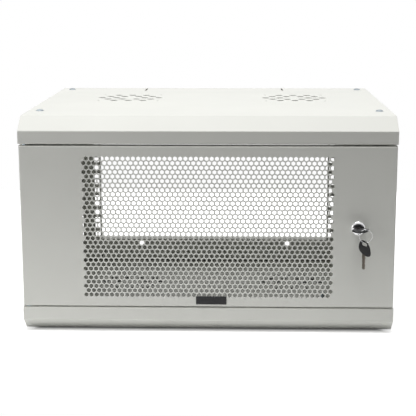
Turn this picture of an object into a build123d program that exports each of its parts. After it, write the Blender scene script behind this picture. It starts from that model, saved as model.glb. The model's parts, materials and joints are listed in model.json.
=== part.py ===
from build123d import *

import os
from math import hypot, sqrt

# Wall mount network cabinet, six rack units, with a perforated front door, open back and snap-on sides.
# Frame: +Z up, +Y towards the wall, +X to the right seen from the front, origin in the middle of the base.
# All sizes are millimetres.

# Rack standard
rack_units = 6
unit_height = 44.45
rail_clear_width = 450.4  # between a pair of rails
rack_hole_inset = 7.35  # hole centres from the rail's inner edge
rack_hole_size = 9.5
rack_hole_steps = (6.35, 22.225, 38.1)  # hole centres above the foot of each unit
rail_face = 34.8

# Outer shell
depth = 500.0
sheet = 1.2
bend_radius = 2.5
chamfer_rise = 20.65
chamfer_run_top = 31.0
chamfer_run_base = 24.0
lip_height = 21.0
nose_return = 22.0  # flange folded back above and below the door
skirt_height = 15.0  # folded edge along the sides and back

# Vents for 120 mm fans and the narrow slots at the back of both shell panels
fan_inset_x = 150.0  # from the shell's side
fan_inset_y = 190.0  # from the wall plane
fan_hole_pitch = 26.0
fan_hole_rings = 2
fan_hole_radius = 5.0
fan_hole_sides = 6
fan_screw_pitch = 105.0
fan_screw_radius = 2.2
rear_slot_x = 133.5
rear_slot_width = 1.6
rear_slot_start = 50.0  # from the wall plane
rear_slot_length = 45.0

# Door
door_gap_top = 2.6
door_gap_base = 1.7
door_gap_side = 0.8
door_depth = 18.0
door_lip = 10.0
mesh_pitch = 33.2  # four of the real door's small holes
mesh_hole_flats = 24.8
mesh_margin_x = 107.5  # door edge to the outermost hole centres, at least
mesh_margin_z = 24.0

# Hinge pins, at the door's left edge
hinge_inset_x = 8.0
hinge_inset_y = 9.0
pin_radius = 3.0
pin_clearance = 0.06
pin_bite = 3.0  # how far a pin reaches past the flange that it enters
pin_length = 44.0
pin_clip_height = 12.0  # the spring's length, from the door's inside down to the bolt's collar
collar_radius = 5.0
collar_height = 2.0
pull_tab_length = 16.0
pull_tab_height = 4.0
pull_tab_thickness = 2.0
washer_radius = 5.5
washer_clearance = 0.3
bracket_level = 8.0  # above the bolt's lower end
bracket_thickness = 2.0
bracket_height = 14.0
bracket_reach_x = 7.0  # past the bolt's axis
bracket_reach_y = 5.5
bracket_clearance = 0.2  # to the bend at the door's edge
spring_wire = 1.1
spring_clearance = 0.2

# Side panels
side_gap = 0.8  # inside the shell's width
side_pan_depth = 13.0
side_notch_clearance = 1.0  # round the uprights, where the side's flanges are cut back
clip_height = 12.0
clip_width = 6.0
clip_reach = 9.0
clip_clearance = 0.4
clip_inset_z = 45.0

# Frame
frame_sheet = 1.5
frame_front = 24.5  # shell front to the front uprights
upright_width = 37.5
upright_clearance = 0.5  # to the side panels
front_upright_depth = 26.0
rear_frame_depth = 28.0
wall_lip = 16.0
cable_hole_width = 27.0
cable_hole_height = 56.0
cable_hole_z = 73.5
upright_end_gap = 3.0  # below the top panel's level and above the base's
upright_return = 20.0
beam_end_gap = 1.5  # behind the panels' chamfers
beam_side_gap = 0.5  # inside the uprights' outer legs
beam_leg = 42.0
beam_outer_lip = 11.0
beam_slot_length = 26.0
beam_slot_height = 7.0
beam_slot_pitch = 53.0  # near this, so that the end slots line up with the rail bolts
beam_bolt_level = 31.0  # rail bolts above the base, and as far below the top

# Wall beams across the back
wall_beam_height = 42.0
wall_hole_spacing = 296.0
wall_hole_level = 38.0
wall_bolt_spread = 6.5  # the two bolts at each end of a wall beam, either side of its middle
wall_hole_radius = 4.5

# Rails
front_rail_inset = 70.0  # from the shell's front
rear_rail_gap = 30.0  # in front of the rear frame
rail_side_leg = 27.0
rail_inner_lip = 12.0
rail_end_gap = 14.0

# Fasteners
dimple_radius = 7.5
dimple_depth = 2.4
panel_screw_inset_x = 19.5  # from the shell's side
panel_screw_front = 99.0  # from the shell's front
panel_screw_rear = 34.0  # from the wall plane
fastener_sides = 8  # flat sides that stand for a small round shank, head or hole
screw_head_radius = 6.2
screw_radius = 3.0
screw_hole_radius = 3.3
screw_head_recess = 0.2  # below the panel's face
screw_head_floor = 0.6  # under the socket
screw_socket = 4.0
earth_stud_inset_x = 100.0
earth_stud_inset_y = 190.0
earth_stud_length = 15.0
bolt_flats = 10.0
bolt_head = 4.0
bolt_tail = 2.0  # thread that shows past a nut

# Cam lock, on the door's right side
lock_inset = 59.2  # from the door's right edge
lock_flange_radius = 11.0
lock_flange = 3.0
lock_flange_bevel = 1.6
plug_recess = 0.6  # below the flange's face
lock_barrel_radius = 9.0
lock_barrel_length = 22.0
lock_bore_clearance = 0.06
plug_radius = 7.0
lock_nut_flats = 23.0
lock_nut = 5.0
cam_bite = 17.0  # how far the cam's tip passes the upright's inner face
cam_width = 13.0
cam_thickness = 2.0
cam_clearance = 1.5  # behind the upright that it catches
cam_slot_clearance = 2.0  # round the cam's path through the upright's inner flange
cam_screw_radius = 5.6
cam_screw_head = 2.4
cam_screw_slot_width = 1.0
cam_screw_slot_depth = 1.2

# Keys and their ring
key_blade_width = 6.6
key_blade_thickness = 1.8
key_blade_length = 24.0
key_point = 1.65  # bevel at the blade's tip
key_shoulder = 5.0  # blade that shows between the plug and the bow
keyway_clearance = 0.25
bow_width = 26.0
bow_neck_width = 19.5  # width at the far end of the bow
bow_length = 25.0
bow_thickness = 3.0
bow_corner = 4.5
bow_slot_length = 15.5
bow_slot_width = 5.0
bow_rim = 3.4  # material between the slot and the bow's far end
ring_radius = 10.0
wire_radius = 0.6
ring_clearance = 0.3
spare_key_clearance = 0.6  # above the ring's wire, which curves up on both sides of the key
spare_key_turn = 48.0
cut = 1.0  # how far a cutting body reaches past the sheet that it cuts

# Worked out from the sizes above
upright_inner_x = rail_clear_width / 2 + rail_face
frame_outer = upright_inner_x + upright_width
side_inner = frame_outer + upright_clearance
side_outer = side_inner + sheet
width = 2 * (side_outer + side_gap)
clear_height = rack_units * unit_height
height = clear_height + 2 * (lip_height + chamfer_rise)
mid_height = height / 2
front = -depth / 2
wall = depth / 2
lip_level = chamfer_rise + lip_height  # the opening's lower edge
door_width = width - 2 * door_gap_side
door_foot = lip_level + door_gap_base
door_top = height - lip_level - door_gap_top
door_height = door_top - door_foot
door_back = front + door_depth
hinge_x = -door_width / 2 + hinge_inset_x
hinge_y = front + hinge_inset_y
front_rail_y = front + front_rail_inset
panel_screw_x = width / 2 - panel_screw_inset_x
panel_screw_ys = (front + panel_screw_front, wall - panel_screw_rear)
lock_x = door_width / 2 - lock_inset
cam_reach = upright_inner_x - lock_x + cam_bite
frame_front_y = front + frame_front
cam_front = frame_front_y + frame_sheet + cam_clearance
rear_frame_y = wall - rear_frame_depth
rear_rail_y = rear_frame_y - rear_rail_gap
inner_foot = sheet + dimple_depth  # level on which the frame stands
upright_foot = inner_foot + upright_end_gap
upright_top = height - upright_foot
wall_bolt_level = inner_foot + wall_beam_height / 2
wall_bolt_levels = (wall_bolt_level, height - wall_bolt_level)
wall_bolt_middle = rear_frame_y + rear_frame_depth / 2
wall_bolt_ys = (wall_bolt_middle - wall_bolt_spread, wall_bolt_middle + wall_bolt_spread)
rail_bolt_levels = (beam_bolt_level, height - beam_bolt_level)
fan_x = width / 2 - fan_inset_x
fan_y = wall - fan_inset_y

# Hinge bolt, from its tip above the shell's lip flange down to its pull tab
pin_tip = height - lip_level + sheet + pin_bite
pin_foot = pin_tip - pin_length
bracket_foot = pin_foot + bracket_level
spring_foot = bracket_foot + bracket_thickness
collar_level = door_top - sheet - pin_clip_height

# Lock and keys
lock_face = front - lock_flange
lock_back = front + lock_barrel_length
plug_face = lock_face + plug_recess
blade_tip = plug_face + key_blade_length - key_shoulder
bow_seat = plug_face - key_shoulder  # the blade side of the bow
slot_depth = bow_length - bow_rim - bow_slot_width / 2
slot_bow_width = bow_width + (bow_neck_width - bow_width) * slot_depth / bow_length
slot_rim = (slot_bow_width - bow_slot_length) / 2  # beside the slot, where the ring passes
ring_y = bow_seat - slot_depth
ring_x = lock_x + bow_slot_length / 2 + slot_rim / 2
ring_drop = hypot(bow_thickness / 2, slot_rim / 2) + ring_clearance
ring_z = mid_height + ring_drop - (ring_radius - wire_radius)
wire_level = ring_z - ring_radius
spare_slot_top = wire_level + wire_radius + spare_key_clearance
spare_origin_z = spare_slot_top - (bow_length - bow_rim)


def box(x0, x1, y0, y1, z0, z1):
    """A block between two corners."""
    return Pos((x0 + x1) / 2, (y0 + y1) / 2, (z0 + z1) / 2) * Box(abs(x1 - x0), abs(y1 - y0), abs(z1 - z0))


def flipped(shape):
    """The same piece for the top of the cabinet, mirrored about its middle height."""
    return mirror(shape, about=Plane.XY.offset(mid_height))


def other_side(shape):
    """The same piece for the left side, mirrored about the middle plane."""
    return mirror(shape, about=Plane.YZ)


def inset(points, thickness):
    """An open outline moved to its left by a sheet's thickness, with mitred corners."""
    normals = []
    for (x0, y0), (x1, y1) in zip(points, points[1:]):
        length = hypot(x1 - x0, y1 - y0)
        normals.append((-(y1 - y0) / length, (x1 - x0) / length))
    moved = []
    for i, (x, y) in enumerate(points):
        before = normals[max(i - 1, 0)]
        after = normals[min(i, len(normals) - 1)]
        share = thickness / (1 + before[0] * after[0] + before[1] * after[1])
        moved.append((x + share * (before[0] + after[0]), y + share * (before[1] + after[1])))
    return moved


def folded(points, thickness):
    """The section of a folded sheet whose outer face follows the points, with its thickness to their left."""
    return Polygon(*points, *reversed(inset(points, thickness)), align=None)


def rounded(face, points, radius):
    """The face with its corners at the given points rounded."""
    corners = [min(face.vertices(), key=lambda v: hypot(v.X - x, v.Y - y)) for x, y in points]
    return fillet(corners, radius)


def along_x(section, x0, x1):
    """A (y, z) section drawn out from x0 to x1."""
    return extrude(Plane.YZ.offset(x0) * section, amount=x1 - x0, dir=(1, 0, 0))


def along_y(section, y0, y1):
    """An (x, z) section drawn out from y0 to y1."""
    return extrude(Plane.XZ.offset(-y1) * section, amount=y1 - y0, dir=(0, -1, 0))


def along_z(section, z0, z1):
    """An (x, y) section drawn out from z0 to z1."""
    return extrude(Plane.XY.offset(z0) * section, amount=z1 - z0, dir=(0, 0, 1))


def rod(x, y, z0, z1, radius):
    """An upright cylinder."""
    return along_z(Pos(x, y) * Circle(radius), z0, z1)


def rod_y(x, z, y0, y1, radius):
    """A cylinder along Y."""
    return along_y(Pos(x, z) * Circle(radius), y0, y1)


def round_section(a, b, radius):
    """A small fastener's round section or its hole, as a polygon."""
    return Pos(a, b) * RegularPolygon(radius, fastener_sides)


def shank(x, y, z0, z1, radius):
    """An upright fastener's shank or hole."""
    return along_z(round_section(x, y, radius), z0, z1)


def shank_x(y, z, x0, x1, radius):
    """The same along X."""
    return along_x(round_section(y, z, radius), x0, x1)


def hexagon(a, b, flats):
    """A nut's, bolt head's or socket's section."""
    return Pos(a, b) * RegularPolygon(flats / 2, 6, major_radius=False)


def fan_vent(x):
    """Through holes for one fan: a hexagonal field of holes round a solid middle, and four screw holes."""
    holes = []
    for row in range(-fan_hole_rings, fan_hole_rings + 1):
        count = 2 * fan_hole_rings + 1 - abs(row)
        for column in range(count):
            dx = (column - (count - 1) / 2) * fan_hole_pitch
            dy = row * fan_hole_pitch * sqrt(3) / 2
            if (dx, row) != (0, 0):
                hole = Pos(x + dx, fan_y + dy) * RegularPolygon(fan_hole_radius, fan_hole_sides)
                holes.append(along_z(hole, -cut, sheet + cut))
    for location in GridLocations(fan_screw_pitch, fan_screw_pitch, 2, 2):
        hole = Pos(x, fan_y) * location * Circle(fan_screw_radius)
        holes.append(along_z(hole, -cut, sheet + cut))
    return holes


def shell_panel(chamfer_run):
    """The base panel: a folded tray whose front rises as a chamfer and a lip. The top panel is its mirror."""
    chamfer_foot = (front + chamfer_run, 0)
    chamfer_top = (front, chamfer_rise)
    lip_top = (front, lip_level)
    skirt_foot = (wall, 0)
    nose_back = front + nose_return
    outline = [(nose_back, lip_level), lip_top, chamfer_top, chamfer_foot, skirt_foot, (wall, skirt_height)]
    outer = Polygon(*outline, (nose_back, skirt_height), align=None)
    outer = rounded(outer, [lip_top, chamfer_top, chamfer_foot, skirt_foot], bend_radius)

    inner_points = inset(outline, sheet)
    roof = lip_level + sheet
    inner = Polygon(*inner_points[:-1], (wall - sheet, roof), (nose_back, roof), align=None)
    inner = rounded(inner, inner_points[1:-1], bend_radius - sheet)

    panel = along_x(outer, -width / 2, width / 2)
    panel -= along_x(inner, -width / 2 + sheet, width / 2 - sheet)

    for x in (-panel_screw_x, panel_screw_x):
        for y in panel_screw_ys:
            panel += shank(x, y, sheet / 2, inner_foot, dimple_radius + sheet)
            panel -= shank(x, y, -cut, dimple_depth, dimple_radius)
            panel -= shank(x, y, -cut, inner_foot + cut, screw_hole_radius)
    for x in (-rear_slot_x, rear_slot_x):
        half = rear_slot_width / 2
        y = wall - rear_slot_start
        panel -= box(x - half, x + half, y, y + rear_slot_length, -cut, sheet + cut)
    panel -= rod(hinge_x, hinge_y, lip_level - sheet - cut, lip_level + cut, pin_radius + pin_clearance)
    return panel - fan_vent(-fan_x) - fan_vent(fan_x)


def mesh_points():
    """Centres of the door's holes, in staggered rows."""
    row_pitch = mesh_pitch * sqrt(3) / 2
    span_x = door_width - 2 * mesh_margin_x
    span_z = door_height - 2 * mesh_margin_z
    rows = int(span_z / row_pitch) + 1
    columns = int(span_x / mesh_pitch - 0.5) + 1
    middle = (door_foot + door_top) / 2
    points = []
    for row in range(rows):
        shift = mesh_pitch / 4 if row % 2 else -mesh_pitch / 4
        for column in range(columns):
            x = (column - (columns - 1) / 2) * mesh_pitch + shift
            points.append((x, middle + (row - (rows - 1) / 2) * row_pitch))
    return points


def door_leaf():
    """A folded steel pan with a field of hexagonal holes punched in its face."""
    half = door_width / 2
    leaf = box(-half, half, front, door_back, door_foot, door_top)
    leaf = fillet(leaf.faces().sort_by(Axis.Y)[0].edges(), bend_radius)
    inner = half - sheet
    hollow = box(-inner, inner, front + sheet, door_back - sheet, door_foot + sheet, door_top - sheet)
    leaf -= fillet(hollow.faces().sort_by(Axis.Y)[0].edges(), bend_radius - sheet)
    leaf -= box(
        -half + door_lip,
        half - door_lip,
        door_back - sheet - cut,
        door_back + cut,
        door_foot + door_lip,
        door_top - door_lip,
    )
    with BuildSketch(Plane.XZ.offset(-front - sheet - cut)) as holes:
        with Locations(*mesh_points()):
            RegularPolygon(mesh_hole_flats / 2, 6, major_radius=False, rotation=30)
    leaf -= extrude(holes.sketch, amount=sheet + 2 * cut)
    bore = lock_barrel_radius + lock_bore_clearance
    leaf -= rod_y(lock_x, mid_height, front - cut, front + sheet + cut, bore)
    for z0, z1 in ((door_foot - cut, door_foot + sheet + cut), (door_top - sheet - cut, door_top + cut)):
        leaf -= rod(hinge_x, hinge_y, z0, z1, pin_radius + pin_clearance)
    return leaf


def lower_hinge_pin():
    """A headed pin that stands on the base panel's lip flange and enters the door's foot."""
    foot = lip_level - sheet
    return rod(hinge_x, hinge_y, foot, door_foot + sheet + pin_bite, pin_radius) + rod(
        hinge_x, hinge_y, foot - sheet, foot, washer_radius
    )


def hinge_washer():
    """The washer that carries the door on its lower pin."""
    ring = rod(hinge_x, hinge_y, lip_level, door_foot - washer_clearance, washer_radius)
    return ring - rod(hinge_x, hinge_y, lip_level - cut, door_foot, pin_radius + pin_clearance)


def upper_hinge_pin():
    """The spring bolt that holds the door's top corner, with a collar for its spring and a pull tab."""
    pin = rod(hinge_x, hinge_y, pin_foot, pin_tip, pin_radius)
    pin += rod(hinge_x, hinge_y, collar_level, collar_level + collar_height, collar_radius)
    tab = Pos(hinge_x + pull_tab_length / 2, hinge_y, pin_foot) * Box(
        pull_tab_length, pull_tab_thickness, pull_tab_height
    )
    return pin + tab


def hinge_spring():
    """The compression spring between the bracket and the pin's collar, as a sleeve."""
    inner = pin_radius + spring_clearance
    sleeve = rod(hinge_x, hinge_y, spring_foot, collar_level, inner + spring_wire)
    return sleeve - rod(hinge_x, hinge_y, spring_foot - cut, collar_level + cut, inner)


def hinge_bracket():
    """An angle spot-welded inside the door face, which guides the spring bolt."""
    face = front + sheet
    x0 = -door_width / 2 + bend_radius + bracket_clearance
    x1 = hinge_x + bracket_reach_x
    back = hinge_y + bracket_reach_y
    top = bracket_foot + bracket_height
    section = folded([(back, bracket_foot), (face, bracket_foot), (face, top)], -bracket_thickness)
    return along_x(section, x0, x1) - rod(hinge_x, hinge_y, pin_foot, pin_tip, pin_radius + pin_clearance)


def side_panel():
    """The right side panel: a folded tray that wraps the frame from front to back."""
    y0 = frame_front_y - sheet - upright_clearance
    y1 = wall
    z0 = skirt_height + side_gap
    z1 = height - z0
    x0 = side_outer - side_pan_depth
    tray = box(x0, side_outer, y0, y1, z0, z1)
    tray = fillet(tray.faces().sort_by(Axis.X)[-1].edges(), bend_radius)
    hollow = box(x0 - cut, side_inner, y0 + sheet, y1 - sheet, z0 + sheet, z1 - sheet)
    hollow = fillet(hollow.faces().sort_by(Axis.X)[-1].edges(), bend_radius - sheet)
    tray -= hollow
    front_notch = frame_front_y + front_upright_depth + side_notch_clearance
    rear_notch = rear_frame_y - side_notch_clearance
    for ya, yb in ((y0 + sheet, front_notch), (rear_notch, y1 - sheet)):
        tray -= box(x0 - cut, side_inner, ya, yb, z0 - cut, z1 + cut)
    return tray


def clip_places():
    """Where the right side panel's clips enter the outer legs of the front and rear uprights."""
    ys = (frame_front_y + front_upright_depth / 2, rear_frame_y + rear_frame_depth / 2)
    zs = (skirt_height + clip_inset_z, height - skirt_height - clip_inset_z)
    return [(y, z) for y in ys for z in zs]


def side_clips():
    """Four sprung catches on the inside of the right side panel."""
    clips = []
    for y, z in clip_places():
        y0, y1 = y - clip_width / 2, y + clip_width / 2
        z0, z1 = z - clip_height / 2, z + clip_height / 2
        body = box(side_inner - clip_reach, side_inner, y0, y1, z0, z1)
        nose_edges = body.faces().sort_by(Axis.X)[0].edges().filter_by(Axis.Y)
        clips.append(chamfer(nose_edges, clip_height / 5))
    return Compound(clips)


def clip_slots():
    """Slots in the frame that the clips pass through."""
    slots = []
    for y, z in clip_places():
        dy = clip_width / 2 + clip_clearance
        dz = clip_height / 2 + clip_clearance
        slots.append(box(frame_outer - frame_sheet - cut, frame_outer + cut, y - dy, y + dy, z - dz, z + dz))
    return slots


def front_upright():
    """The right front upright: a channel, open to the back, that the lock's cam catches behind."""
    back = frame_front_y + front_upright_depth
    section = folded(
        [
            (upright_inner_x, frame_front_y + upright_return),
            (upright_inner_x, frame_front_y),
            (frame_outer, frame_front_y),
            (frame_outer, back),
        ],
        frame_sheet,
    )
    upright = along_z(section, upright_foot, upright_top) - clip_slots()
    swing = sqrt(cam_reach**2 - (upright_inner_x - lock_x) ** 2) + cam_slot_clearance
    slot_foot = mid_height - cam_width / 2 - cam_slot_clearance
    slot_back = cam_front + cam_thickness + cam_slot_clearance
    x0, x1 = upright_inner_x - cut, upright_inner_x + frame_sheet + cut
    return upright - box(x0, x1, frame_front_y + frame_sheet, slot_back, slot_foot, mid_height + swing)


def rear_upright():
    """The right rear upright: a channel with a lip that lies on the wall, and two holes for cables."""
    section = folded(
        [
            (upright_inner_x, wall - sheet - upright_clearance),
            (upright_inner_x, rear_frame_y),
            (frame_outer, rear_frame_y),
            (frame_outer, wall - sheet - upright_clearance),
            (frame_outer - wall_lip, wall - sheet - upright_clearance),
        ],
        frame_sheet,
    )
    upright = along_z(section, upright_foot, upright_top) - clip_slots()
    hole_x = (upright_inner_x + frame_outer) / 2
    for z in (cable_hole_z, height - cable_hole_z):
        slot = Pos(hole_x, z) * SlotOverall(cable_hole_height, cable_hole_width, rotation=90)
        upright -= along_y(slot, rear_frame_y - cut, rear_frame_y + frame_sheet + cut)
    x0, x1 = upright_inner_x - cut, upright_inner_x + frame_sheet + cut
    for z in wall_bolt_levels:
        for y in wall_bolt_ys:
            upright -= shank_x(y, z, x0, x1, screw_hole_radius)
    return upright


def depth_beam():
    """The lower right beam from front to back. Its inner leg has the slots in which the rails are set."""
    inner = upright_inner_x + frame_sheet
    outer = frame_outer - frame_sheet - beam_side_gap
    y0 = front + max(chamfer_run_top, chamfer_run_base) + beam_end_gap
    section = folded(
        [
            (outer, inner_foot + beam_outer_lip),
            (outer, inner_foot),
            (inner, inner_foot),
            (inner, inner_foot + beam_leg),
        ],
        -frame_sheet,
    )
    beam = along_y(section, y0, rear_frame_y)
    first, last = rail_bolt_y(front_rail_y), rail_bolt_y(rear_rail_y)
    steps = max(1, round((last - first) / beam_slot_pitch))
    for i in range(steps + 1):
        y = first + (last - first) * i / steps
        slot = Pos(y, beam_bolt_level) * Rectangle(beam_slot_length, beam_slot_height)
        beam -= along_x(slot, inner - cut, inner + frame_sheet + cut)
    for y in panel_screw_ys:
        beam -= shank(panel_screw_x, y, inner_foot - cut, inner_foot + frame_sheet + cut, screw_hole_radius)
    return beam


def wall_beam():
    """The lower wall beam: a channel, open to the wall, with two holes in its web for the wall bolts."""
    top = inner_foot + wall_beam_height
    back = wall - sheet
    section = folded(
        [(back, top), (rear_frame_y, top), (rear_frame_y, inner_foot), (back, inner_foot)],
        frame_sheet,
    )
    end = upright_inner_x
    beam = along_x(section, -end, end)
    for x0 in (-end, end - frame_sheet):
        beam += box(x0, x0 + frame_sheet, rear_frame_y, back, inner_foot, top)
    y0, y1 = rear_frame_y - cut, rear_frame_y + frame_sheet + cut
    for x in (-wall_hole_spacing / 2, wall_hole_spacing / 2):
        beam -= rod_y(x, wall_hole_level, y0, y1, wall_hole_radius)
    for y in wall_bolt_ys:
        beam -= shank_x(y, wall_bolt_level, -end - cut, end + cut, screw_hole_radius)
    return beam


def bolt_and_nut(y, z, seat, back, toward):
    """A hexagon bolt along X whose head lies on x = seat, and its nut behind x = back."""
    tip = back + toward * (bolt_head + bolt_tail)
    section = hexagon(y, z, bolt_flats)
    head = along_x(section, *sorted((seat - toward * bolt_head, seat)))
    nut = along_x(section, *sorted((back, back + toward * bolt_head)))
    body = shank_x(y, z, *sorted((seat, tip)), screw_radius)
    return [head + body, nut - body]


def wall_beam_bolts():
    """Bolts and nuts that join the wall beams' right ends to the rear upright."""
    bolts = []
    for z in wall_bolt_levels:
        for y in wall_bolt_ys:
            bolts += bolt_and_nut(y, z, upright_inner_x + frame_sheet, upright_inner_x - frame_sheet, -1)
    return Compound(bolts)


def rail_bolt_y(rail_y):
    """The rail's bolts pass through the middle of its side leg."""
    return rail_y + frame_sheet + rail_side_leg / 2


def rail(rail_y):
    """A right-hand 19 inch rail with three square holes in each rack unit."""
    inner = rail_clear_width / 2
    outer = upright_inner_x + frame_sheet
    section = folded(
        [
            (inner, rail_y + rail_inner_lip),
            (inner, rail_y),
            (outer, rail_y),
            (outer, rail_y + frame_sheet + rail_side_leg),
        ],
        frame_sheet,
    )
    post = along_z(section, rail_end_gap, height - rail_end_gap)
    half = rack_hole_size / 2
    x = inner + rack_hole_inset
    for unit in range(rack_units):
        for step in rack_hole_steps:
            z = lip_level + unit * unit_height + step
            post -= box(x - half, x + half, rail_y - cut, rail_y + frame_sheet + cut, z - half, z + half)
    for z in rail_bolt_levels:
        post -= shank_x(rail_bolt_y(rail_y), z, outer - frame_sheet - cut, outer + cut, screw_hole_radius)
    return post


def rail_bolts(rail_y):
    """The two bolts and nuts that clamp one rail to the beams."""
    bolts = []
    for z in rail_bolt_levels:
        bolts += bolt_and_nut(rail_bolt_y(rail_y), z, upright_inner_x, upright_inner_x + 2 * frame_sheet, 1)
    return bolts


def panel_screws():
    """Four socket screws that hold the base panel to the beams, with their nuts."""
    screws = []
    tail = inner_foot + frame_sheet
    for x in (-panel_screw_x, panel_screw_x):
        for y in panel_screw_ys:
            screw = shank(x, y, screw_head_recess, dimple_depth, screw_head_radius)
            screw -= along_z(hexagon(x, y, screw_socket), -cut, dimple_depth - screw_head_floor)
            screws.append(screw + shank(x, y, dimple_depth, tail + bolt_head + bolt_tail, screw_radius))
            nut = along_z(hexagon(x, y, bolt_flats), tail, tail + bolt_head)
            screws.append(nut - shank(x, y, tail - cut, tail + bolt_head + cut, screw_radius))
    return Compound(screws)


def lock_housing():
    """The lock's body: a rounded flange on the door face and a barrel through it."""
    flange = rod_y(lock_x, mid_height, lock_face, front, lock_flange_radius)
    flange = chamfer(flange.faces().sort_by(Axis.Y)[0].edges(), lock_flange_bevel)
    body = flange + rod_y(lock_x, mid_height, front, lock_back, lock_barrel_radius)
    bore = plug_radius + lock_bore_clearance
    return body - rod_y(lock_x, mid_height, lock_face - cut, lock_back + cut, bore)


def lock_nut_ring():
    """The nut that clamps the lock's body to the door."""
    y0 = front + sheet
    nut = along_y(hexagon(lock_x, mid_height, lock_nut_flats), y0, y0 + lock_nut)
    return nut - rod_y(lock_x, mid_height, y0 - cut, y0 + lock_nut + cut, lock_barrel_radius)


def blade_section(clearance):
    """The key blade's section, lying flat."""
    return Rectangle(key_blade_width + 2 * clearance, key_blade_thickness + 2 * clearance)


def lock_plug():
    """The plug that the key turns, with a square tail for the cam."""
    plug = rod_y(lock_x, mid_height, plug_face, cam_front, plug_radius)
    keyway = Pos(lock_x, mid_height) * blade_section(keyway_clearance)
    plug -= along_y(keyway, plug_face - cut, blade_tip + keyway_clearance)
    tail = Pos(lock_x, mid_height) * Rectangle(plug_radius, plug_radius)
    return plug + along_y(tail, cam_front, cam_front + cam_thickness)


def lock_cam():
    """The cam on the plug's tail, upright and clear of the frame while the door is unlocked."""
    reach = cam_reach - cam_width / 2
    plate = Pos(lock_x, mid_height + reach / 2) * SlotCenterToCenter(reach, cam_width, rotation=90)
    cam = along_y(plate, cam_front, cam_front + cam_thickness)
    tail = Pos(lock_x, mid_height) * Rectangle(plug_radius, plug_radius)
    return cam - along_y(tail, cam_front - cut, cam_front + cam_thickness + cut)


def cam_screw():
    """The screw that holds the cam on the plug."""
    y0 = cam_front + cam_thickness
    y1 = y0 + cam_screw_head
    slot = Pos(lock_x, mid_height) * Rectangle(2 * cam_screw_radius + cut, cam_screw_slot_width)
    head = rod_y(lock_x, mid_height, y0, y1, cam_screw_radius)
    return head - along_y(slot, y1 - cam_screw_slot_depth, y1 + cut)


def bow_outline():
    """A key bow in its own plane: the blade enters at y 0 and the slotted far end is at y bow_length."""
    half, far = bow_width / 2, bow_neck_width / 2
    corners = [(-half, 0), (half, 0), (far, bow_length), (-far, bow_length)]
    outline = rounded(Polygon(*corners, align=None), corners, bow_corner)
    return outline - Pos(0, slot_depth) * SlotOverall(bow_slot_length, bow_slot_width)


def key_shapes():
    """A key with its blade along -Y below the origin and its bow above it, flat in the XY plane."""
    bow = extrude(bow_outline(), amount=bow_thickness / 2, both=True)
    blade_outline = Pos(0, -key_blade_length / 2) * Rectangle(key_blade_width, key_blade_length)
    tip = blade_outline.vertices().sort_by(Axis.Y)[:2]
    blade_outline = chamfer(tip, key_point)
    blade = extrude(blade_outline, amount=key_blade_thickness / 2, both=True)
    return bow, blade


def key_in_lock():
    """The key in the lock, its bow level."""
    place = Pos(lock_x, bow_seat, mid_height) * Rot(0, 0, 180)
    bow, blade = key_shapes()
    return place * bow, place * blade


def key_ring():
    """A plain wire ring through the slot of the key's bow."""
    wire = Plane.XZ * Pos(ring_radius, 0) * RegularPolygon(wire_radius, 6)
    return Pos(ring_x, ring_y, ring_z) * Rot(90, 0, 0) * revolve(wire, Axis.Z)


def spare_key():
    """The second key, hanging from the ring by its slot."""
    place = Pos(ring_x, ring_y, spare_origin_z) * Rot(0, 0, spare_key_turn) * Rot(90, 0, 0)
    bow, blade = key_shapes()
    return place * bow, place * blade


def earth_stud():
    """The earthing stud and nut on the base panel."""
    x, y = width / 2 - earth_stud_inset_x, front + earth_stud_inset_y
    stud = shank(x, y, sheet, sheet + earth_stud_length, screw_radius)
    nut = along_z(hexagon(x, y, bolt_flats), sheet, sheet + bolt_head)
    return Compound([stud, nut - stud])


def cabinet_pieces():
    """Every sub-part by its node name."""
    base_screws = panel_screws()
    right_beam = depth_beam()
    right_front, right_rear = front_upright(), rear_upright()
    right_side, right_clips = side_panel(), side_clips()
    front_rail, rear_rail = rail(front_rail_y), rail(rear_rail_y)
    lower_wall_beam = wall_beam()
    right_rail_bolts = Compound(rail_bolts(front_rail_y) + rail_bolts(rear_rail_y))
    right_wall_bolts = wall_beam_bolts()
    bow, blade = key_in_lock()
    spare_bow, spare_blade = spare_key()
    return {
        "bottom_panel": shell_panel(chamfer_run_base),
        "top_panel": flipped(shell_panel(chamfer_run_top)),
        "bottom_panel_screws": base_screws,
        "top_panel_screws": flipped(base_screws),
        "front_upright_right": right_front,
        "front_upright_left": other_side(right_front),
        "rear_upright_right": right_rear,
        "rear_upright_left": other_side(right_rear),
        "lower_beam_right": right_beam,
        "lower_beam_left": other_side(right_beam),
        "upper_beam_right": flipped(right_beam),
        "upper_beam_left": flipped(other_side(right_beam)),
        "wall_beam_lower": lower_wall_beam,
        "wall_beam_upper": flipped(lower_wall_beam),
        "wall_beam_bolts_right": right_wall_bolts,
        "wall_beam_bolts_left": other_side(right_wall_bolts),
        "front_rail_right": front_rail,
        "front_rail_left": other_side(front_rail),
        "rear_rail_right": rear_rail,
        "rear_rail_left": other_side(rear_rail),
        "rail_bolts_right": right_rail_bolts,
        "rail_bolts_left": other_side(right_rail_bolts),
        "side_panel_right": right_side,
        "side_panel_left": other_side(right_side),
        "side_clips_right": right_clips,
        "side_clips_left": other_side(right_clips),
        "door_leaf": door_leaf(),
        "lower_hinge_pin": lower_hinge_pin(),
        "hinge_washer": hinge_washer(),
        "upper_hinge_pin": upper_hinge_pin(),
        "hinge_spring": hinge_spring(),
        "hinge_bracket": hinge_bracket(),
        "lock_housing": lock_housing(),
        "lock_nut": lock_nut_ring(),
        "lock_plug": lock_plug(),
        "lock_cam": lock_cam(),
        "cam_screw": cam_screw(),
        "key_bow": bow,
        "key_blade": blade,
        "key_ring": key_ring(),
        "spare_key_bow": spare_bow,
        "spare_key_blade": spare_blade,
        "earth_stud": earth_stud(),
    }


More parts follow.
